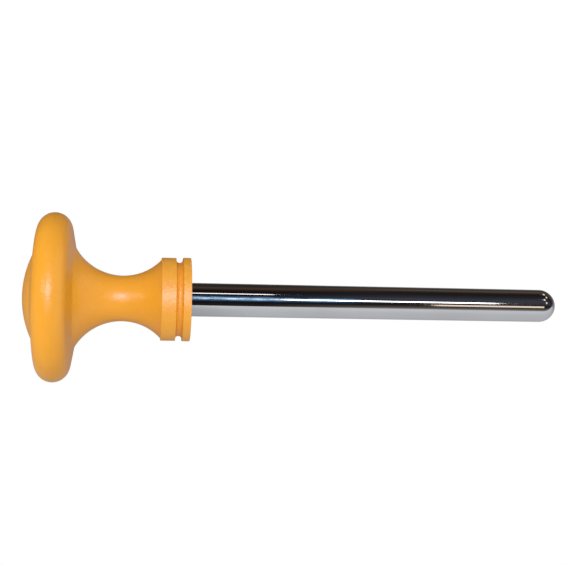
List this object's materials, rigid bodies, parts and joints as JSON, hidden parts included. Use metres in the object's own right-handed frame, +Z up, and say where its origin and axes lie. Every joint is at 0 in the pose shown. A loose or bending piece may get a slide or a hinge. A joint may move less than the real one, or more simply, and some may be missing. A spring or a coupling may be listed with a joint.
{
  "type": "tyre plug insertion tool",
  "caption": "Hand push tool: mushroom palm knob with a concave neck and grooved collar on a straight, round-nosed steel rod, for pressing a plug through a guide.",
  "frame": {"origin": "centre of the rod's hole in the plane of the knob's end face, where the bare rod begins", "axes": "+X along the rod towards its round nose, +Z up, with the knob on the -X side; the tool is a body of revolution about X"},
  "size_m": [0.1623, 0.0498, 0.0498],
  "materials": {
    "orange_plastic": "satin gloss, faint orange peel",
    "chrome": "bright plated, fine turning marks",
    "brass": "turned, knurled",
    "nylon": "natural",
    "zinc_steel": "zinc plated"
  },
  "bodies": {
    "root": {"knob_body": "orange_plastic", "push_rod": "chrome", "threaded_insert": "brass", "nylon_lock_ring": "nylon", "load_plate": "zinc_steel"}
  },
  "joints": []
}
